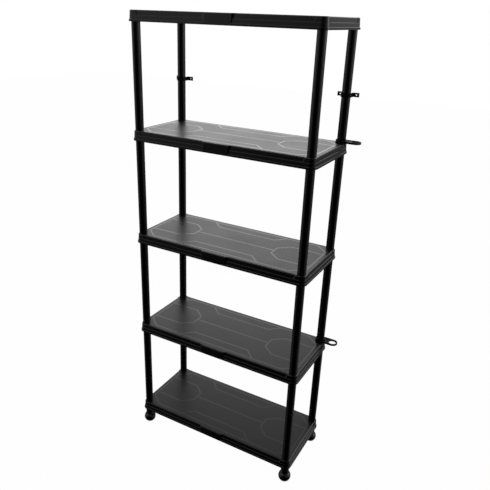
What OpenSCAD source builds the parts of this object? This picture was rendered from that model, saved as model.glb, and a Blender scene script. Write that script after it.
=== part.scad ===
// Five-tier resin shelving unit: push-together posts, ball feet, wall brackets and tool rings.
// The origin is on the floor, midway between the four feet. +X is to the right, +Y to the rear.

/* [Overall] */
// Width over the shelf flanges
shelf_w = 750; // [650:10:900]
// Depth over the shelf flanges
shelf_d = 325; // [310:5:400]
// Height from one shelf to the next
shelf_pitch = 419; // [300:1:450]
// Height of the lowest shelf's underside above the floor
foot_h = 75; // [68:1:100]

/* [Shelf] */
// Height of the rim
rim_h = 38; // [36:1:46]
// Thickness of the deck
deck_t = 2.6; // [2:0.1:4]
// Thickness of the rim's wall
rim_t = 2.6; // [2:0.1:3]
// Distance from a post's axis to the flange's edge
flange_r = 24; // [23.5:0.5:30]
// Height of the flange
flange_h = 8; // [6:0.5:10]
// Distance from a post's axis to the rim's face, just above the flange
rim_low_r = 21.4; // [21:0.1:22]
// Distance from a post's axis to the rim's face, at the top
rim_top_r = 20; // [19.8:0.1:20.5]
// Radius of the rounded shoulder between rim and deck
shoulder_r = 3.5; // [2:0.5:3.5]
// Height of the ledge below the recessed band
ledge_z = 21.5; // [18:0.5:24]
// Depth of the recessed band
band_depth = 2.4; // [1:0.1:2.6]
// Distance along the rim from a post's axis to the band's end, at the top
band_end = 13; // [12:0.5:25]
// Lean of the band's ends over the band's height
band_lean = 7.5; // [0:0.5:9]
// Width of the plain label plate at the front
plate_w = 102; // [60:2:200]
// Length of the plate's slanted ends
plate_run = 9; // [5:0.5:14]

/* [Deck lines] */
// Width of the lines sunk in the deck
line_w = 6; // [3:0.5:10]
// Depth of the lines
line_depth = 0.3; // [0.2:0.1:1.2]
// Length of the border's chamfer along the long side
chamfer_x = 50; // [45:1:60]
// Length of the border's chamfer along the short side
chamfer_y = 44; // [40:1:50]
// Half width of the end octagons
octagon_y = 67; // [60:1:80]
// Distance from the middle to the octagons' slanted sides
octagon_x = 221; // [200:1:230]
// Distance from the middle to the octagons' tips
tip_x = 176; // [150:1:190]
// Half width of the octagons' tips
tip_y = 28.5; // [20:0.5:40]
// Distance from the middle to the trapezoids' short sides
trapezoid_y = 94; // [85:1:110]
// Half length of the trapezoids' short sides
trapezoid_x = 128; // [100:1:150]

/* [Underside] */
// Thickness of the ribs under the deck
rib_t = 2.2; // [1.5:0.1:4]
// Height of the ribs' lower edges above the flange's underside
rib_z = 13; // [5:1:20]
// Number of ribs across the shelf
cross_ribs = 5; // [3:2:7]
// Distance of the two long ribs from the middle
long_rib_y = 46; // [30:1:80]

/* [Posts] */
// Outer diameter of a post
post_d = 32; // [31:0.5:32]
// Diameter of a post's bore
bore_d = 26; // [24:0.5:27]
// Play between a spigot and its bore, on the diameter
spigot_play = 0.4; // [0.2:0.1:0.8]
// Wall of the spigot
spigot_t = 2.2; // [1.5:0.1:3]
// Length of spigot inside the piece below
spigot_grip = 20; // [12:1:25]
// Depth of the seat that a post's foot drops into
seat_depth = 2; // [1:0.5:2.5]

/* [Feet] */
// Diameter of a foot's ball
ball_d = 51.2; // [44:0.2:56]
// Height of the ball's centre above the floor
ball_z = 22; // [19:0.5:22]
// Diameter of a foot's neck
neck_d = 33.8; // [33:0.2:36]

/* [Wall bracket] */
// Height of a bracket's middle above the shelf below it
bracket_z = 167.5; // [160:0.5:200]
// Height of the strap and its ears
strap_h = 15; // [10:1:25]
// Thickness of the strap round the post
strap_t = 2.6; // [2:0.1:5]
// Thickness of the ears
ear_t = 3; // [2:0.5:5]
// Distance between the tips of the ears
ear_span = 80; // [76:1:100]
// Distance between the screw holes
screw_span = 60; // [56:1:66]
// Diameter of the screw holes
screw_d = 4.8; // [4:0.1:7]

/* [Tool ring] */
// Height of the collar
collar_h = 9.6; // [9:0.1:30]
// Thickness of the collar's wall
collar_t = 4.4; // [3:0.1:6]
// Distance from the post's axis to the ring's middle
ring_reach = 53; // [50:1:80]
// Inner diameter of the ring
ring_bore_d = 31.6; // [20:0.2:33]
// Outer diameter of the ring
ring_d = 41.6; // [40:0.2:46]
// Thickness of the ring
ring_t = 7; // [4:0.2:7.4]
// Height of the ring's underside above the collar's
ring_z = 0.8; // [0:0.2:1.6]

/* [Hidden] */
$fn = 72;
TIERS = 4;
chamfer = 0.6;
// How far a cut runs past the face it opens
over = 1;
// How much a rim face leans in over its height
draft = 0.4;
// Bevel along the flange's top edge
flange_bevel = 1.5;
// Gap between a post and the bracket or collar round it
running_gap = 0.06;
// Height of a collar's underside above the deck
lift = 0.4;
// Height of the solid ring at a post's foot
post_foot = 4;
// Length of the taper at a spigot's tip
lead_in = 2;
// Depth of a foot's socket below the end of the spigot
socket_spare = 3;
// Length of a cap's skirt below the deck
cap_skirt = 14;
// Thickness of a cap's head below its seat
cap_head = 1;

black = [0.045, 0.045, 0.05];
soft_black = [0.06, 0.06, 0.065];

post_x = shelf_w / 2 - flange_r;
post_y = shelf_d / 2 - flange_r;
post_r = post_d / 2;
bore_r = bore_d / 2;
spigot_r = bore_r - spigot_play / 2;
sleeve_r = post_r + running_gap;
seat_r = post_r + 0.1;
corner_r = rim_low_r - 1;
band_r = rim_top_r - band_depth;
border_y = post_y - 1.5;
trapezoid_foot = trapezoid_x + border_y - trapezoid_y;
rib_step = 2 * post_x / (cross_ribs + 1);
plate_depth = flange_r - band_r;

SHELVES = ["shelf_1_bottom", "shelf_2", "shelf_3", "shelf_4", "shelf_5_top"];
CORNERS = [["front_left", -1, -1], ["front_right", 1, -1], ["rear_left", -1, 1], ["rear_right", 1, 1]];

// Height of the underside of shelf n, counted from 0 at the bottom
function shelf_z(n) = foot_h + n * shelf_pitch;

// Height of the deck of shelf n
function deck_z(n) = shelf_z(n) + rim_h;

// Quarter circle from the outside at height z up to the top, as [r, z] points
function shoulder(r, z, radius, steps = 6) =
    [
        for (i = [0:steps])
            let (a = 90 * i / steps)
            [r - radius + radius * cos(a), z - radius + radius * sin(a)]
    ];

// Outline of the rim below the ledge
low_profile = [
    [flange_r - chamfer, 0],
    [flange_r, chamfer],
    [flange_r, flange_h - flange_bevel],
    [flange_r - flange_bevel, flange_h],
    [rim_low_r, flange_h],
    [rim_low_r - draft, ledge_z]
];

// Outline of the rim above the ledge, with its face at radius r at the top
function top_profile(r) = concat([[r + draft, ledge_z]], shoulder(r, rim_h, shoulder_r));

// Closed section of a bar that carries the profile on both sides, d from the middle to the post axes
function section(profile, d) = concat(
    [for (p = profile) [d + p.x, p.y]],
    [for (i = [len(profile) - 1:-1:0]) [-d - profile[i].x, profile[i].y]]
);

// Outline of the hollow under the deck
hollow_profile = [
    [rim_low_r - rim_t, -over],
    [rim_low_r - rim_t, ledge_z - rim_t],
    [band_r - rim_t, ledge_z - rim_t],
    [band_r - rim_t, rim_h - deck_t]
];

// Places its children on the four post axes
module at_posts() {
    for (c = CORNERS) translate([c[1] * post_x, c[2] * post_y, 0]) children();
}

// Block whose side follows an outline measured from the post axes, with round corners
module rounded_block(profile) {
    top = profile[len(profile) - 1].y;
    base = profile[0].y;
    for (c = CORNERS)
        translate([c[1] * post_x, c[2] * post_y, 0])
            rotate([0, 0, c[1] > 0 ? (c[2] > 0 ? 0 : 270) : (c[2] > 0 ? 90 : 180)])
                rotate_extrude(angle = 90)
                    polygon(concat([[0, base]], profile, [[0, top]]));
    rotate([90, 0, 90])
        linear_extrude(height = 2 * post_x, center = true)
            polygon(section(profile, post_y));
    rotate([90, 0, 0])
        linear_extrude(height = 2 * post_y, center = true)
            polygon(section(profile, post_x));
}

// Leaning slab that marks out the full-thickness corner between two recessed bands
module corner_zone() {
    top_half = (rim_top_r + band_end) / sqrt(2);
    low_half = top_half + band_lean / sqrt(2);
    for (c = CORNERS)
        translate([c[1] * post_x, c[2] * post_y, 0])
            rotate([90, 0, 90 + c[1] * c[2] * 45])
                linear_extrude(height = 4 * flange_r, center = true)
                    polygon([
                        [-low_half, ledge_z],
                        [low_half, ledge_z],
                        [top_half, rim_h],
                        [-top_half, rim_h]
                    ]);
}

// Plain plate at the middle of the front, flush with the flange
module label_plate() {
    face = post_y + flange_r;
    front = concat([[flange_r, chamfer]], shoulder(flange_r, rim_h, shoulder_r));
    intersection() {
        rotate([90, 0, 90])
            linear_extrude(height = plate_w + 2 * plate_run, center = true)
                polygon(concat(
                    [[chamfer - face, 0]],
                    [for (p = front) [-post_y - p.x, p.y]],
                    [[-post_y, rim_h], [-post_y, 0]]
                ));
        linear_extrude(height = rim_h)
            polygon([
                [-plate_w / 2, -face],
                [plate_w / 2, -face],
                [plate_w / 2 + plate_run, -face + plate_depth],
                [plate_w / 2 + plate_run, -post_y],
                [-plate_w / 2 - plate_run, -post_y],
                [-plate_w / 2 - plate_run, -face + plate_depth]
            ]);
    }
}

// Point i of a path moved sideways by d, with the corner mitred
function mitred(path, i, d) =
    let (
        last = len(path) - 1,
        before = path[max(i, 1)] - path[max(i, 1) - 1],
        after = path[min(i, last - 1) + 1] - path[min(i, last - 1)],
        u = before / norm(before),
        v = after / norm(after)
    )
    path[i] + d * [-u.y - v.y, u.x + v.x] / (1 + u * v);

// Line of even width along an open path
module stroke(path) {
    last = len(path) - 1;
    polygon(concat(
        [for (i = [0:last]) mitred(path, i, line_w / 2)],
        [for (i = [last:-1:0]) mitred(path, i, -line_w / 2)]
    ));
}

// Outline of the border, moved outwards by d
module border(d) {
    slant = d * (1 - tan(22.5));
    polygon([
        for (q = [[1, 1], [-1, 1], [-1, -1], [1, -1]], first = [0, 1])
            (q.x * q.y > 0 ? first : 1 - first) == 0
                ? [q.x * (post_x + d), q.y * (border_y - chamfer_y + d - slant)]
                : [q.x * (post_x - chamfer_x + d - slant), q.y * (border_y + d)]
    ]);
}

// The pattern of lines on a deck
module deck_lines() {
    difference() {
        border(line_w / 2);
        border(-line_w / 2);
    }
    stroke([[-tip_x, 0], [tip_x, 0]]);
    for (s = [-1, 1]) {
        stroke([
            [s * post_x, octagon_y],
            [s * octagon_x, octagon_y],
            [s * tip_x, tip_y],
            [s * tip_x, -tip_y],
            [s * octagon_x, -octagon_y],
            [s * post_x, -octagon_y]
        ]);
        stroke([
            [-trapezoid_foot, s * border_y],
            [-trapezoid_x, s * trapezoid_y],
            [trapezoid_x, s * trapezoid_y],
            [trapezoid_foot, s * border_y]
        ]);
    }
}

// Space under the deck, between the ribs and the corner sleeves
module hollow() {
    difference() {
        rounded_block(hollow_profile);
        at_posts() translate([0, 0, -2 * over]) cylinder(r = corner_r, h = rim_h);
        for (s = [-1, 1])
            translate([-post_x - flange_r, s * long_rib_y - rib_t / 2, rib_z])
                cube([2 * (post_x + flange_r), rib_t, rim_h]);
        for (i = [1:cross_ribs])
            translate([i * rib_step - post_x - rib_t / 2, -post_y - flange_r, rib_z])
                cube([rib_t, 2 * (post_y + flange_r), rim_h]);
    }
}

// One shelf, with its underside at z = 0
module shelf() {
    difference() {
        union() {
            rounded_block(low_profile);
            rounded_block(top_profile(band_r));
            intersection() {
                rounded_block(top_profile(rim_top_r));
                corner_zone();
            }
            label_plate();
        }
        hollow();
        at_posts() {
            translate([0, 0, -over]) cylinder(r = bore_r, h = rim_h + 2 * over);
            translate([0, 0, rim_h - seat_depth]) cylinder(r = seat_r, h = seat_depth + over);
        }
        translate([0, 0, rim_h - line_depth]) linear_extrude(height = line_depth + over) deck_lines();
    }
}

// One post between two shelves, with its seat at z = 0 and its spigot below
module post() {
    tube = shelf_pitch - rim_h + seat_depth;
    reach = rim_h - seat_depth + spigot_grip;
    rotate_extrude()
        polygon([
            [spigot_r - spigot_t, -reach],
            [spigot_r - chamfer, -reach],
            [spigot_r, -reach + lead_in],
            [spigot_r, 0],
            [post_r - chamfer, 0],
            [post_r, chamfer],
            [post_r, tube - chamfer],
            [post_r - chamfer, tube],
            [bore_r, tube],
            [bore_r, post_foot],
            [spigot_r - spigot_t, post_foot]
        ]);
}

// One foot, standing on z = 0
module foot() {
    socket = spigot_grip + socket_spare;
    difference() {
        union() {
            intersection() {
                translate([0, 0, ball_z]) sphere(d = ball_d);
                cylinder(d = 2 * ball_d, h = 2 * ball_d);
            }
            translate([0, 0, ball_z]) cylinder(d = neck_d, h = foot_h - ball_z);
        }
        translate([0, 0, foot_h - socket]) cylinder(r = bore_r, h = socket + over);
    }
}

// One corner plug, with its head flush with z = 0
module cap() {
    rotate_extrude()
        polygon([
            [0, 0],
            [post_r - chamfer, 0],
            [post_r, -chamfer],
            [post_r, -seat_depth],
            [spigot_r, -seat_depth],
            [spigot_r - chamfer, -cap_skirt],
            [spigot_r - spigot_t, -cap_skirt],
            [spigot_r - spigot_t, -seat_depth - cap_head],
            [0, -seat_depth - cap_head]
        ]);
}

// One wall bracket: a strap round the front of a post, and two ears flat on the wall behind it
module wall_bracket() {
    strap_r = sleeve_r + strap_t;
    difference() {
        union() {
            cylinder(r = strap_r, h = strap_h, center = true);
            translate([-strap_r, 0, -strap_h / 2]) cube([2 * strap_r, flange_r, strap_h]);
            translate([-ear_span / 2, flange_r - ear_t, -strap_h / 2]) cube([ear_span, ear_t, strap_h]);
        }
        cylinder(r = sleeve_r, h = strap_h + 2 * over, center = true);
        translate([-sleeve_r, 0, -strap_h / 2 - over])
            cube([2 * sleeve_r, flange_r + over, strap_h + 2 * over]);
        for (s = [-1, 1])
            translate([s * screw_span / 2, flange_r + over, 0])
                rotate([90, 0, 0]) cylinder(d = screw_d, h = ear_t + 2 * over);
    }
}

// Outline that the collar and the ring share
module ring_outline() {
    circle(d = ring_d);
    translate([ring_reach, 0]) circle(d = ring_d);
    translate([0, -ring_d / 2]) square([ring_reach, ring_d]);
}

// Sunk panel between the collar and the ring
module ring_panel() {
    margin = 2;
    edge = 4.5;
    difference() {
        translate([0, edge - ring_d / 2]) square([ring_reach, ring_d - 2 * edge]);
        circle(r = sleeve_r + collar_t + margin);
        translate([ring_reach, 0]) circle(d = ring_d);
    }
}

// One tool ring, with its collar standing on z = 0
module tool_ring() {
    web_t = 2;
    sunk = (ring_t - web_t) / 2;
    difference() {
        union() {
            cylinder(r = sleeve_r + collar_t, h = collar_h);
            translate([0, 0, ring_z]) linear_extrude(height = ring_t) ring_outline();
        }
        translate([0, 0, -over]) cylinder(r = sleeve_r, h = collar_h + 2 * over);
        translate([ring_reach, 0, -over]) cylinder(d = ring_bore_d, h = collar_h);
        translate([0, 0, ring_z - over]) linear_extrude(height = sunk + over) ring_panel();
        translate([0, 0, ring_z + ring_t - sunk]) linear_extrude(height = sunk + over) ring_panel();
    }
}

for (n = [0:TIERS])
    color(black) translate([0, 0, shelf_z(n)]) shelf();

for (t = [1:TIERS], c = CORNERS)
    color(black) translate([c[1] * post_x, c[2] * post_y, deck_z(t - 1) - seat_depth]) post();

for (c = CORNERS)
    color(black) translate([c[1] * post_x, c[2] * post_y, 0]) foot();

for (c = CORNERS)
    color(soft_black) translate([c[1] * post_x, c[2] * post_y, deck_z(TIERS)]) cap();

color(soft_black) translate([-post_x, post_y, deck_z(3) + bracket_z]) wall_bracket();  // wall_bracket_left

color(soft_black) translate([post_x, post_y, deck_z(3) + bracket_z]) wall_bracket();  // wall_bracket_right

color(soft_black) translate([post_x, post_y, deck_z(3) + lift]) tool_ring();  // tool_ring_upper

color(soft_black) translate([post_x, post_y, deck_z(1) + lift]) tool_ring();  // tool_ring_lower
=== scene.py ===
"""Looks of the five-tier resin shelving unit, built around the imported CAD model."""

import math

import bmesh
import bpy
from mathutils import Euler, Matrix, Vector
from mathutils.geometry import delaunay_2d_cdt


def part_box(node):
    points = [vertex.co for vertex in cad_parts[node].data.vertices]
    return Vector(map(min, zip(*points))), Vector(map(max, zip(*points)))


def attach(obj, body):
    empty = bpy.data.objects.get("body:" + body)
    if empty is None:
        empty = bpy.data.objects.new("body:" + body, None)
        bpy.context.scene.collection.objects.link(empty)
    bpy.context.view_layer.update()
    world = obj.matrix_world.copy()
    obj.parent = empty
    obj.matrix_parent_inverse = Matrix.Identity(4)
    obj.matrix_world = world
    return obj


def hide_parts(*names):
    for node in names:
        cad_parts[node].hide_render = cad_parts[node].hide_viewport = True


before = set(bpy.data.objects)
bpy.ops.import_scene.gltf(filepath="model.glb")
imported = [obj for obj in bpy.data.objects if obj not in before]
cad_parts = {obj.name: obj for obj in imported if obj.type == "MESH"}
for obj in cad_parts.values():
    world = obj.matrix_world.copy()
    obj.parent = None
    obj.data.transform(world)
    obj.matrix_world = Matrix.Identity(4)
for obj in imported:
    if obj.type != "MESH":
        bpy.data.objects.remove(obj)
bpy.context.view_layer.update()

MM = 0.001
WHITE = (1, 1, 1, 1)

# Camera: place in metres, then the way it looks in degrees
CAMERA_AT = (0.9971, -1.7792, 1.7839)
CAMERA_AZIMUTH = 28.85
CAMERA_ELEVATION = 22.86
CAMERA_ROLL = 2.03
CAMERA_LENS = 40.41
CAMERA_SHIFT = (0.0136, 0.0038)

# The room: brightness by the angle from the dark side, in degrees, and by the sine of the height
DARK_SIDE = Vector((0.36, -0.93, -0.56)).normalized()
ROUND_STOPS = [
    (0, 0.006), (26, 0.012), (34, 0.035), (39, 0.07), (44, 0.12), (50, 0.15), (55, 0.26), (60, 0.4),
    (78, 0.5), (92, 0.85), (100, 0.65), (107, 0.36), (121, 0.27), (141, 0.24), (156, 0.54), (180, 0.61),
]
HEIGHT_STOPS = [
    (-0.7, 0.22), (-0.38, 0.34), (-0.2, 0.5), (-0.11, 0.75), (0, 1), (0.3, 0.9), (0.5, 0.5), (0.7, 0.3),
    (1, 0.2),
]
# Extra brightness of the rear by the sine of the height, and the part of the room that has it: azimuth
# and elevation of its middle, and the angles where it begins to fade and where it ends. A colour ramp
# holds 0 to 1, so it carries the extra brightness divided by REAR_TOP
REAR_STOPS = [(0, 0), (0.12, 1.5), (0.3, 1.4), (0.5, 0.74), (0.64, 0.17), (0.8, 0.1), (1, 0)]
REAR_TOP = 3.0
REAR = (204, 12, 48, 80)
# Soft panels of light: azimuth from the front towards +X and elevation of the middle, the angles where it
# begins to fade and where it ends, its brightness, and the sine of the height where it is cut off. The
# cut is soft over CUT_FADE of the room's height
PANELS = [
    (120, 6, 10, 22, 1.7, 0),
    (214, 14, 12, 30, 0.9, 0),
    (146, 38, 14, 28, 2.4, 0.3),
    (-38, 42, 16, 32, 0.8, 0.1),
]
CUT_FADE = 0.03

# Floor: half its width in metres, and its brightness
FLOOR_HALF = 12
FLOOR_LEVEL = 0.99

# Resin: grain detail, then scale, detail and swing in roughness of its slow change of gloss
GRAIN_DETAIL = 3.0
SLOW_SCALE = 9.0
SLOW_DETAIL = 4.0
GLOSS_SWING = 0.08

# Shelf, in millimetres: distances r are measured outwards from the rectangle of the post axes, and
# pairs of them are for the lower and the upper end of a face
RIM_H = 38.0
LEDGE_Z = 21.5
FLANGE_H = 8.0
FLANGE_R = 24.0
FLANGE_ROUND = 1.3
LEDGE_ROUND = 1.4
FLANGE_FILLET = 0.5
LEDGE_FILLET = 0.2
EDGE = 0.6
LOW_R = (21.4, 21.0)
FULL_R = (20.4, 20.0)
BAND_R = (18.0, 17.6)
SHOULDER = 3.5
BAND_END = 13.0
BAND_LEAN = 7.5
PLATE_HALF = 51.0
# How far the slanted ends of band and plate run along the rim, for each millimetre of depth
SLANT = 1.4
SEAT_R = 16.1
SEAT_DEPTH = 2.0
BORE_R = 13.0
INNER_LOW_R = 18.8
INNER_TOP_R = 15.0
INNER_LEDGE_Z = 18.9
UNDER_Z = 35.4
SLEEVE_R = 20.4
RIB_T = 2.2
RIB_Z = 13.0
RIB_REACH = 19.5
CROSS_RIBS = 5
LONG_RIB_Y = 46.0

# Lines on the deck, in millimetres. PLAN_GAP is how close two points of a plan may be and stay two
LINE_W = 6.0
LINE_DEPTH = 0.3
LINE_WALL = 0.35
CHAMFER_X = 50.0
CHAMFER_Y = 44.0
OCTAGON_Y = 67.0
OCTAGON_X = 221.0
TIP_X = 176.0
TIP_Y = 28.5
TRAPEZOID_Y = 94.0
TRAPEZOID_X = 128.0
BORDER_IN = 1.5
PLAN_GAP = 1e-4

SHELVES = ["shelf_1_bottom", "shelf_2", "shelf_3", "shelf_4", "shelf_5_top"]
CORNERS = [("front_left", -1, -1), ("front_right", 1, -1), ("rear_left", -1, 1), ("rear_right", 1, 1)]
# Steps of a rim's corner and of a full turn, and the angle in degrees from which an edge is sharp
ARC_STEPS = 14
ROUND_STEPS = 56
SHARP_ANGLE = 33
# Material slots of a shelf, in this order
SHELF_SLOTS = ["smooth", "deck", "line", "matt"]
DECK_SLOT, LINE_SLOT, UNDERSIDE_SLOT = 1, 2, 3
# CAD nodes that stay in view, the gap in millimetres up to which their points are one, and the angle in
# degrees up to which two of their faces are one
KEPT_NODES = ["wall_bracket_left", "wall_bracket_right", "tool_ring_upper", "tool_ring_lower"]
WELD_GAP = 0.002
FLAT_ANGLE = 0.5

# Posts, feet and caps, in millimetres
POST_R = 16.0
SPIGOT_R = 12.8
SPIGOT_T = 2.2
LEAD_IN = 2.0
POST_FOOT = 4.0
BALL_R = 25.59
BALL_Z = 22.0
NECK_R = 16.9
NECK_FILLET = 8.0
SOCKET = 23.0
PLUG_TOP = 1.0
# The edge of a foot's pad: how far inside the ball's cut its flat part ends, a point on it as distances
# outwards from the cut and up, and the angle on the ball where it ends
PAD_IN = 0.3
PAD_EDGE = (0.4, 0.15)
PAD_ANGLE = -58

shelf_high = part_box(SHELVES[0])[1]
POST_X = shelf_high.x / MM - FLANGE_R
POST_Y = shelf_high.y / MM - FLANGE_R
BORDER_Y = POST_Y - BORDER_IN


def direction(azimuth, elevation):
    """Unit vector, with azimuth 0 towards -Y and 90 towards +X, in degrees."""
    a, e = math.radians(azimuth), math.radians(elevation)
    return Vector((math.sin(a) * math.cos(e), -math.cos(a) * math.cos(e), math.sin(e)))


def make_camera():
    """The camera of the scene."""
    data = bpy.data.cameras.new("camera")
    data.sensor_width = 36
    data.lens = CAMERA_LENS
    data.shift_x, data.shift_y = CAMERA_SHIFT
    data.clip_start, data.clip_end = 0.05, 50
    camera = bpy.data.objects.new("camera", data)
    camera.location = CAMERA_AT
    turn = direction(CAMERA_AZIMUTH, CAMERA_ELEVATION).to_track_quat("Z", "Y").to_matrix()
    roll = Euler((0, 0, math.radians(CAMERA_ROLL))).to_matrix()
    camera.rotation_euler = (turn @ roll).to_euler()
    bpy.context.scene.collection.objects.link(camera)
    bpy.context.scene.camera = camera


class Nodes:
    """Short calls for making shader nodes."""

    def __init__(self, tree):
        self.tree = tree
        tree.nodes.clear()

    def add(self, kind, inputs=None, **settings):
        node = self.tree.nodes.new("ShaderNode" + kind)
        for name, value in settings.items():
            setattr(node, name, value)
        for name, value in (inputs or {}).items():
            if isinstance(value, bpy.types.NodeSocket):
                self.tree.links.new(value, node.inputs[name])
            else:
                node.inputs[name].default_value = value
        return node

    def math(self, operation, *values):
        return self.add("Math", dict(enumerate(values)), operation=operation).outputs[0]

    def ramp(self, value, stops):
        node = self.add("ValToRGB", {0: value})
        elements = node.color_ramp.elements
        while len(elements) < len(stops):
            elements.new(0.5)
        for element, (place, level) in zip(elements, stops):
            element.position = place
            element.color = (level, level, level, 1)
        return node.outputs[0]


def angle_from(n, way, axis):
    """Angle between a direction and an axis, as a share of a half turn."""
    dot = n.add("VectorMath", {0: way, 1: axis}, operation="DOT_PRODUCT").outputs["Value"]
    return n.math("DIVIDE", n.math("ARCCOSINE", dot), math.pi)


def panel(n, way, azimuth, elevation, fade, end):
    """1 in the middle of a round part of the room, and 0 outside it."""
    away = angle_from(n, way, direction(azimuth, elevation))
    return n.ramp(away, [(fade / 180, 1), (end / 180, 0)])


def make_world():
    """The studio room that lights the scene. The camera sees plain white in its place."""
    world = bpy.data.worlds.new("studio")
    world.use_nodes = True
    bpy.context.scene.world = world
    n = Nodes(world.node_tree)
    way = n.add("TexCoord").outputs["Generated"]
    around = n.ramp(angle_from(n, way, DARK_SIDE), [(a / 180, level) for a, level in ROUND_STOPS])
    sine = n.add("SeparateXYZ", {0: way}).outputs["Z"]
    half = n.math("MULTIPLY_ADD", sine, 0.5, 0.5)
    height = n.ramp(half, [(0.5 + s / 2, level) for s, level in HEIGHT_STOPS])
    boost = n.ramp(half, [(0.5 + s / 2, level / REAR_TOP) for s, level in REAR_STOPS])
    boost = n.math("MULTIPLY", boost, panel(n, way, *REAR))
    level = n.math("MULTIPLY", around, n.math("MULTIPLY_ADD", boost, REAR_TOP, height))
    for azimuth, elevation, fade, end, strength, bottom in PANELS:
        above = n.ramp(half, [(0.5 - CUT_FADE + bottom / 2, 0), (0.5 + bottom / 2, 1)])
        shown = n.math("MULTIPLY", panel(n, way, azimuth, elevation, fade, end), above)
        level = n.math("MULTIPLY_ADD", shown, strength, level)
    room = n.add("Background", {"Color": WHITE, "Strength": level}).outputs[0]
    backdrop = n.add("Background", {"Color": WHITE, "Strength": 1.0}).outputs[0]
    seen = n.add("LightPath").outputs["Is Camera Ray"]
    mix = n.add("MixShader", {"Fac": seen, 1: room, 2: backdrop})
    n.add("OutputWorld", {"Surface": mix.outputs[0]})


def make_floor():
    """A pale floor that neither lights the unit nor shows in its gloss."""
    mesh = bpy.data.meshes.new("floor")
    corners = rectangle(-FLOOR_HALF, FLOOR_HALF, -FLOOR_HALF, FLOOR_HALF)
    mesh.from_pydata([(x, y, 0) for x, y in corners], [], [(0, 1, 2, 3)])
    floor = bpy.data.objects.new("floor", mesh)
    bpy.context.scene.collection.objects.link(floor)
    material = bpy.data.materials.new("studio_floor")
    material.use_nodes = True
    n = Nodes(material.node_tree)
    glow = n.add("Emission", {"Color": WHITE, "Strength": FLOOR_LEVEL})
    n.add("OutputMaterial", {"Surface": glow.outputs[0]})
    mesh.materials.append(material)
    floor.visible_glossy = False
    floor.visible_diffuse = False


# Materials

def resin(name, roughness, grain_size, grain_height, ior=1.5, level=0.0015):
    """Black moulded resin: a fine grain in the surface, and a slow change of gloss across it."""
    material = bpy.data.materials.new(name)
    material.use_nodes = True
    n = Nodes(material.node_tree)
    place = n.add("TexCoord").outputs["Object"]
    grain = n.add("TexNoise", {"Vector": place, "Scale": 1 / grain_size, "Detail": GRAIN_DETAIL}).outputs[0]
    slow = n.add("TexNoise", {"Vector": place, "Scale": SLOW_SCALE, "Detail": SLOW_DETAIL}).outputs[0]
    bump = n.add("Bump", {"Strength": 1.0, "Distance": grain_height, "Height": grain})
    rough = n.math("MULTIPLY_ADD", slow, GLOSS_SWING, roughness - GLOSS_SWING / 2)
    shader = n.add("BsdfPrincipled", {
        "Base Color": (level, level, level, 1),
        "Roughness": rough,
        "Normal": bump.outputs[0],
    })
    shader.inputs["IOR"].default_value = ior
    n.add("OutputMaterial", {"Surface": shader.outputs[0]})
    return material


MATERIALS = {
    "smooth": resin("smooth_resin", 0.18, 0.0025, 0.000006),
    "deck": resin("grained_resin", 0.41, 0.0013, 0.00003, 1.45),
    "matt": resin("matt_resin", 0.5, 0.0009, 0.000012, 1.22),
    "line": resin("polished_resin", 0.3, 0.0012, 0.000001, 1.66),
}


# Shapes

def arc(cx, cy, radius, start, end, steps):
    """Points on an arc, with the angles in degrees."""
    points = []
    for i in range(steps + 1):
        a = math.radians(start + (end - start) * i / steps)
        points.append((cx + radius * math.cos(a), cy + radius * math.sin(a)))
    return points


def circle(cx, cy, radius):
    """Outline of a circle."""
    return arc(cx, cy, radius, 0, 360, ROUND_STEPS)[:-1]


def rim_profile(kind):
    """The rim's outside from the underside up to the deck, as (r, z) points, as many for each kind."""
    face = {"full": FULL_R, "band": BAND_R, "plate": (FLANGE_R, FLANGE_R)}[kind]
    foot = arc(FLANGE_R - EDGE, EDGE, EDGE, -90, 0, 3)
    flange = arc(FLANGE_R - FLANGE_ROUND, FLANGE_H - FLANGE_ROUND, FLANGE_ROUND, 0, 90, 4)
    step = arc(LOW_R[0] + FLANGE_FILLET, FLANGE_H + FLANGE_FILLET, FLANGE_FILLET, 270, 180, 3)
    step += arc(LOW_R[1] - LEDGE_ROUND, LEDGE_Z - LEDGE_ROUND, LEDGE_ROUND, 0, 90, 3)
    step += arc(face[0] + LEDGE_FILLET, LEDGE_Z + LEDGE_FILLET, LEDGE_FILLET, 270, 180, 2)
    top = arc(face[1] - SHOULDER, RIM_H - SHOULDER, SHOULDER, 0, 90, 8)
    if kind != "plate":
        return foot + flange + step + top
    low_z, high_z = FLANGE_H - FLANGE_ROUND, RIM_H - SHOULDER
    flat = len(flange) - 1 + len(step)
    upright = [(FLANGE_R, low_z + (high_z - low_z) * i / (flat + 1)) for i in range(1, flat + 1)]
    return foot + flange[:1] + upright + top


def lean(z):
    """How far the band's ends have moved at height z."""
    return BAND_LEAN * (RIM_H - max(z, LEDGE_Z)) / (RIM_H - LEDGE_Z)


def slant(depth):
    """How far along the rim a slanted end runs over a depth."""
    return SLANT * depth


def side_stations(half_length, plate):
    """Stations along one straight side, each a list of (t, r, z) with t measured from its middle."""
    full, band = rim_profile("full"), rim_profile("band")
    stations = [
        [(-half_length, r, z) for r, z in full],
        [(-half_length + BAND_END + lean(z) - slant(r - FULL_R[1]), r, z) for r, z in full],
        [(-half_length + BAND_END + lean(z) - slant(r - FULL_R[1]), r, z) for r, z in band],
    ]
    if plate:
        flush = rim_profile("plate")
        stations += [
            [(-PLATE_HALF - slant(FLANGE_R - r), r, z) for r, z in band],
            [(-PLATE_HALF - slant(FLANGE_R - r), r, z) for r, z in flush],
            [(PLATE_HALF + slant(FLANGE_R - r), r, z) for r, z in flush],
            [(PLATE_HALF + slant(FLANGE_R - r), r, z) for r, z in band],
        ]
    stations += [[(-t, r, z) for t, r, z in station] for station in stations[2::-1]]
    return stations


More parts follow.
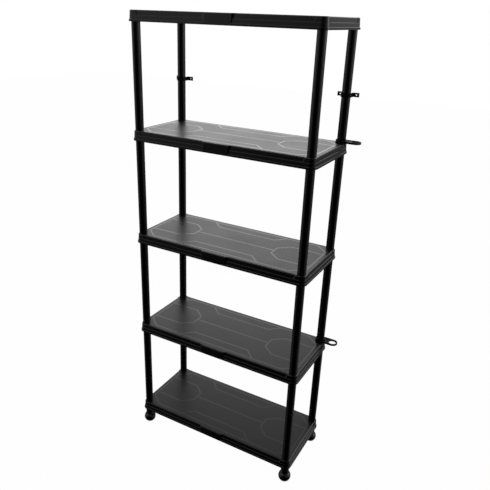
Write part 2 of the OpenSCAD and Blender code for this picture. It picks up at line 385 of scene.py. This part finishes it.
def rim_stations():
    """The rim's outside as a closed loop of columns of points, from the front left corner."""
    full = rim_profile("full")
    loop = []
    for side, (c, s) in enumerate([(1, 0), (0, 1), (-1, 0), (0, -1)]):
        half_length, half_depth = (POST_Y, POST_X) if side % 2 else (POST_X, POST_Y)
        for station in side_stations(half_length, plate=side == 0):
            points = [(t, -half_depth - r, z) for t, r, z in station]
            loop.append([(c * x - s * y, s * x + c * y, z) for x, y, z in points])
        for i in range(1, ARC_STEPS):
            a = math.radians(-90 + 90 * i / ARC_STEPS)
            points = [(half_length + r * math.cos(a), -half_depth + r * math.sin(a), z) for r, z in full]
            loop.append([(c * x - s * y, s * x + c * y, z) for x, y, z in points])
    return loop


def rounded_rectangle(r):
    """Outline at a distance r outside the rectangle of the post axes."""
    points = []
    for quarter, (sx, sy) in enumerate([(1, -1), (1, 1), (-1, 1), (-1, -1)]):
        start = 90 * quarter - 90
        points += arc(sx * POST_X, sy * POST_Y, r, start, start + 90, 8)
    return points


def rectangle(x0, x1, y0, y1):
    """Outline of a rectangle."""
    return [(x0, y0), (x1, y0), (x1, y1), (x0, y1)]


def border(d):
    """Outline of the border line, moved outwards by d."""
    inward = d * (1 - math.tan(math.radians(22.5)))
    x0, y0 = POST_X + d, BORDER_Y - CHAMFER_Y + d - inward
    x1, y1 = POST_X - CHAMFER_X + d - inward, BORDER_Y + d
    quarter = [(x0, y0), (x1, y1)]
    half = quarter + [(-x, y) for x, y in quarter[::-1]]
    return half + [(-x, -y) for x, y in half]


def stroke(path):
    """Outline of a deck line along an open path, with mitred corners."""
    points = [Vector(p) for p in path]
    left, right = [], []
    for i, p in enumerate(points):
        before = (points[max(i, 1)] - points[max(i, 1) - 1]).normalized()
        after = (points[min(i + 1, len(points) - 1)] - points[min(i, len(points) - 2)]).normalized()
        side = Vector((-before.y - after.y, before.x + after.x)) / (1 + before.dot(after))
        left.append(tuple(p + side * LINE_W / 2))
        right.append(tuple(p - side * LINE_W / 2))
    return left + right[::-1]


def deck_strokes():
    """Outlines of the middle line, the two half octagons and the two trapezoids."""
    foot = TRAPEZOID_X + BORDER_Y - TRAPEZOID_Y
    strokes = [stroke([(-TIP_X, 0), (TIP_X, 0)])]
    for s in (-1, 1):
        strokes.append(stroke([
            (s * POST_X, OCTAGON_Y), (s * OCTAGON_X, OCTAGON_Y), (s * TIP_X, TIP_Y),
            (s * TIP_X, -TIP_Y), (s * OCTAGON_X, -OCTAGON_Y), (s * POST_X, -OCTAGON_Y),
        ]))
        strokes.append(stroke([
            (-foot, s * BORDER_Y), (-TRAPEZOID_X, s * TRAPEZOID_Y),
            (TRAPEZOID_X, s * TRAPEZOID_Y), (foot, s * BORDER_Y),
        ]))
    return strokes


def divide(outlines):
    """Overlapping outlines cut into triangles: the points, and each triangle's corners and outlines."""
    points, faces = [], []
    for outline in outlines:
        area = sum(a[0] * b[1] - a[1] * b[0] for a, b in zip(outline, outline[1:] + outline[:1]))
        loop = outline if area > 0 else outline[::-1]
        faces.append(list(range(len(points), len(points) + len(loop))))
        points += [Vector(p[:2]) for p in loop]
    out = delaunay_2d_cdt(points, [], faces, 1, PLAN_GAP)
    return [tuple(p) for p in out[0]], list(zip(out[2], out[5]))


class Build:
    """A mesh in the making, in millimetres. Points that agree to a hundredth of one are one point."""

    def __init__(self):
        self.bm = bmesh.new()
        self.found = {}

    def point(self, x, y, z):
        """The vertex at a place, made when it is first asked for."""
        key = (round(x, 2), round(y, 2), round(z, 2))
        if key not in self.found:
            self.found[key] = self.bm.verts.new((x, y, z))
        return self.found[key]

    def face(self, corners, slot=0):
        """A face with these corners, or None where fewer than three of them differ."""
        verts = []
        for corner in corners:
            vert = self.point(*corner)
            if vert not in verts:
                verts.append(vert)
        if len(verts) < 3:
            return None
        made = self.bm.faces.new(verts)
        made.material_index = slot
        return made

    def skin(self, columns):
        """Faces between the columns of points of a closed loop."""
        for a, b in zip(columns, columns[1:] + columns[:1]):
            for i in range(len(a) - 1):
                self.face([a[i], b[i], b[i + 1], a[i + 1]])


def in_rounded_rectangle(x, y, r):
    """Whether a place is less than r from the rectangle of the post axes, or inside it."""
    dx, dy = max(abs(x) - POST_X, 0), max(abs(y) - POST_Y, 0)
    return math.hypot(dx, dy) < r


def cross_ribs():
    """Places of the ribs that run from front to rear."""
    step = 2 * POST_X / (CROSS_RIBS + 1)
    return [i * step - POST_X for i in range(1, CROSS_RIBS + 1)]


def underside_height(x, y):
    """Height of the shelf's underside at a place inside it, or None in a bore."""
    from_post = math.hypot(abs(x) - POST_X, abs(y) - POST_Y)
    if from_post < BORE_R:
        return None
    if from_post < SLEEVE_R or not in_rounded_rectangle(x, y, INNER_LOW_R):
        return 0.0
    if any(abs(x - rib) < RIB_T / 2 for rib in cross_ribs()) or abs(abs(y) - LONG_RIB_Y) < RIB_T / 2:
        return RIB_Z
    return UNDER_Z if in_rounded_rectangle(x, y, INNER_TOP_R) else INNER_LEDGE_Z


def underside_outlines(outer):
    """Outlines of the rim, its inner walls, the sleeves, bores and ribs, seen from above."""
    outlines = [outer, rounded_rectangle(INNER_LOW_R), rounded_rectangle(INNER_TOP_R)]
    for _, sx, sy in CORNERS:
        outlines.append(circle(sx * POST_X, sy * POST_Y, SLEEVE_R))
        outlines.append(circle(sx * POST_X, sy * POST_Y, BORE_R))
    reach_x, reach_y = POST_X + RIB_REACH, POST_Y + RIB_REACH
    for x in cross_ribs():
        outlines.append(rectangle(x - RIB_T / 2, x + RIB_T / 2, -reach_y, reach_y))
    for y in (-LONG_RIB_Y, LONG_RIB_Y):
        outlines.append(rectangle(-reach_x, reach_x, y - RIB_T / 2, y + RIB_T / 2))
    return outlines


def add_underside(build, outer):
    """The underside: level parts by their height, and upright walls between them."""
    points, triangles = divide(underside_outlines(outer))
    # Each triangle's height, and the triangle on the left of each edge
    heights, across = {}, {}
    for number, (corners, _) in enumerate(triangles):
        cx = sum(points[c][0] for c in corners) / 3
        cy = sum(points[c][1] for c in corners) / 3
        heights[number] = underside_height(cx, cy)
        for a, b in zip(corners, corners[1:] + corners[:1]):
            across.setdefault((a, b), number)
    # The heights that meet at each point, which a wall beside it takes up
    levels = {}
    for number, (corners, _) in enumerate(triangles):
        for c in corners:
            if heights[number] is not None:
                levels.setdefault(c, set()).add(heights[number])
    for number, (corners, _) in enumerate(triangles):
        z = heights[number]
        if z is None:
            continue
        build.face([(*points[c], z) for c in corners[::-1]], UNDERSIDE_SLOT)
        for a, b in zip(corners, corners[1:] + corners[:1]):
            other = heights.get(across.get((b, a)))
            if other is None or other <= z:
                continue
            up_b = sorted(h for h in levels[b] if z <= h <= other)
            up_a = sorted((h for h in levels[a] if z <= h <= other), reverse=True)
            wall = [(*points[b], h) for h in up_b] + [(*points[a], h) for h in up_a]
            build.face(wall, UNDERSIDE_SLOT)


def add_deck(build, outer):
    """The deck without the seats. Gives the faces of its lines."""
    outlines = [outer, border(LINE_W / 2), border(-LINE_W / 2)]
    seats = range(len(outlines), len(outlines) + len(CORNERS))
    outlines += [circle(sx * POST_X, sy * POST_Y, SEAT_R) for _, sx, sy in CORNERS]
    outlines += deck_strokes()
    points, triangles = divide(outlines)
    lines = []
    for corners, inside in triangles:
        if any(i in seats for i in inside):
            continue
        in_line = (1 in inside and 2 not in inside) or any(i >= seats.stop for i in inside)
        face = build.face([(*points[c], RIM_H) for c in corners], LINE_SLOT if in_line else DECK_SLOT)
        if in_line:
            lines.append(face)
    return lines


def add_seats(build):
    """The posts' seats in the deck and the bores below them."""
    ring = [(BORE_R, 0), (BORE_R, RIM_H - SEAT_DEPTH), (SEAT_R, RIM_H - SEAT_DEPTH), (SEAT_R, RIM_H)]
    for _, sx, sy in CORNERS:
        columns = []
        for x, y in circle(0, 0, 1)[::-1]:
            columns.append([(sx * POST_X + r * x, sy * POST_Y + r * y, z) for r, z in ring])
        build.skin(columns)


def shelf_mesh():
    """A shelf, standing on z = 0."""
    build = Build()
    loop = rim_stations()
    build.skin(loop)
    add_underside(build, [column[0][:2] for column in loop])
    lines = add_deck(build, [column[-1][:2] for column in loop])
    add_seats(build)
    bm = build.bm
    bmesh.ops.inset_region(bm, faces=lines, thickness=LINE_WALL, depth=-LINE_DEPTH, use_even_offset=True)
    bmesh.ops.recalc_face_normals(bm, faces=bm.faces)
    return bm


def add_piece(node, bm, slots, at):
    """Turns a mesh in the making, in millimetres, into a piece that stands for a CAD node."""
    name = node + "_moulding"
    mesh = bpy.data.meshes.new(name)
    bm.to_mesh(mesh)
    mesh.transform(Matrix.Translation(Vector(at)) @ Matrix.Scale(MM, 4))
    for slot in slots:
        mesh.materials.append(MATERIALS[slot])
    mesh.shade_smooth()
    mesh.set_sharp_from_angle(angle=math.radians(SHARP_ANGLE))
    piece = bpy.data.objects.new(name, mesh)
    bpy.context.scene.collection.objects.link(piece)
    piece.modifiers.new("normals", "WEIGHTED_NORMAL").keep_sharp = True
    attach(piece, "unit")
    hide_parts(node)


def lathed(profile):
    """A mesh in the making, of a closed profile of (r, z) points turned about the z axis."""
    build = Build()
    loop = profile + profile[:1]
    columns = []
    for i in range(ROUND_STEPS):
        a = 2 * math.pi * i / ROUND_STEPS
        columns.append([(r * math.cos(a), r * math.sin(a), z) for r, z in loop])
    build.skin(columns)
    bmesh.ops.recalc_face_normals(build.bm, faces=build.bm.faces)
    return build.bm


def post_mesh(low, high):
    """A post, with z = 0 at the foot of its tube."""
    profile = [(SPIGOT_R - SPIGOT_T, low), (SPIGOT_R - EDGE, low), (SPIGOT_R, low + LEAD_IN), (SPIGOT_R, 0)]
    profile += arc(POST_R - EDGE, EDGE, EDGE, -90, 0, 3)
    profile += arc(POST_R - EDGE, high - EDGE, EDGE, 0, 90, 3)
    profile += [(BORE_R, high), (BORE_R, POST_FOOT), (SPIGOT_R - SPIGOT_T, POST_FOOT)]
    return lathed(profile)


def foot_mesh(height):
    """A foot, standing on z = 0."""
    reach = BALL_R + NECK_FILLET
    rise = math.sqrt(reach ** 2 - (NECK_R + NECK_FILLET) ** 2)
    meet = math.degrees(math.atan2(rise, NECK_R + NECK_FILLET))
    flat_r = math.sqrt(BALL_R ** 2 - BALL_Z ** 2)
    profile = [(0, 0), (flat_r - PAD_IN, 0), (flat_r + PAD_EDGE[0], PAD_EDGE[1])]
    profile += arc(0, BALL_Z, BALL_R, PAD_ANGLE, meet, 22)
    profile += arc(NECK_R + NECK_FILLET, BALL_Z + rise, NECK_FILLET, 180 + meet, 180, 5)
    profile += arc(NECK_R - EDGE, height - EDGE, EDGE, 0, 90, 3)
    profile += [(BORE_R, height), (BORE_R, height - SOCKET), (0, height - SOCKET)]
    return lathed(profile)


def cap_mesh(skirt):
    """A corner plug, with its head flush with z = 0 and its skirt reaching down to z = skirt."""
    profile = [(0, 0)] + arc(POST_R - EDGE, -EDGE, EDGE, 90, 0, 3)
    profile += [(POST_R, -SEAT_DEPTH), (SPIGOT_R, -SEAT_DEPTH), (SPIGOT_R - EDGE, skirt)]
    top = -SEAT_DEPTH - PLUG_TOP
    profile += [(SPIGOT_R - SPIGOT_T, skirt), (SPIGOT_R - SPIGOT_T, top), (0, top)]
    return lathed(profile)


def soften(node, material):
    """Rounds the edges of a kept CAD node and gives it its material."""
    weld = node.modifiers.new("weld", "WELD")
    weld.merge_threshold = WELD_GAP * MM
    flat = node.modifiers.new("flat", "DECIMATE")
    flat.decimate_type = "DISSOLVE"
    flat.angle_limit = math.radians(FLAT_ANGLE)
    edges = node.modifiers.new("edges", "BEVEL")
    edges.width = EDGE * MM
    edges.segments = 3
    edges.limit_method = "ANGLE"
    edges.angle_limit = math.radians(SHARP_ANGLE)
    node.modifiers.new("normals", "WEIGHTED_NORMAL").keep_sharp = True
    node.data.materials.clear()
    node.data.materials.append(material)


shelf = shelf_mesh()
for node in SHELVES:
    add_piece(node, shelf, SHELF_SLOTS, (0, 0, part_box(node)[0].z))

for corner, sx, sy in CORNERS:
    x, y = sx * POST_X * MM, sy * POST_Y * MM
    for tier in range(1, len(SHELVES)):
        node = f"post_tier{tier}_{corner}"
        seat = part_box(SHELVES[tier - 1])[1].z - SEAT_DEPTH * MM
        low, high = [(end.z - seat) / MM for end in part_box(node)]
        add_piece(node, post_mesh(low, high), ["smooth"], (x, y, seat))
    node = "foot_" + corner
    add_piece(node, foot_mesh(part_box(node)[1].z / MM), ["smooth"], (x, y, 0))
    node = "cap_" + corner
    low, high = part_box(node)
    add_piece(node, cap_mesh((low.z - high.z) / MM), ["smooth"], (x, y, high.z))

for node in KEPT_NODES:
    soften(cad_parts[node], MATERIALS["matt"])

make_camera()
make_world()
make_floor()
bpy.context.scene.view_settings.view_transform = "Standard"
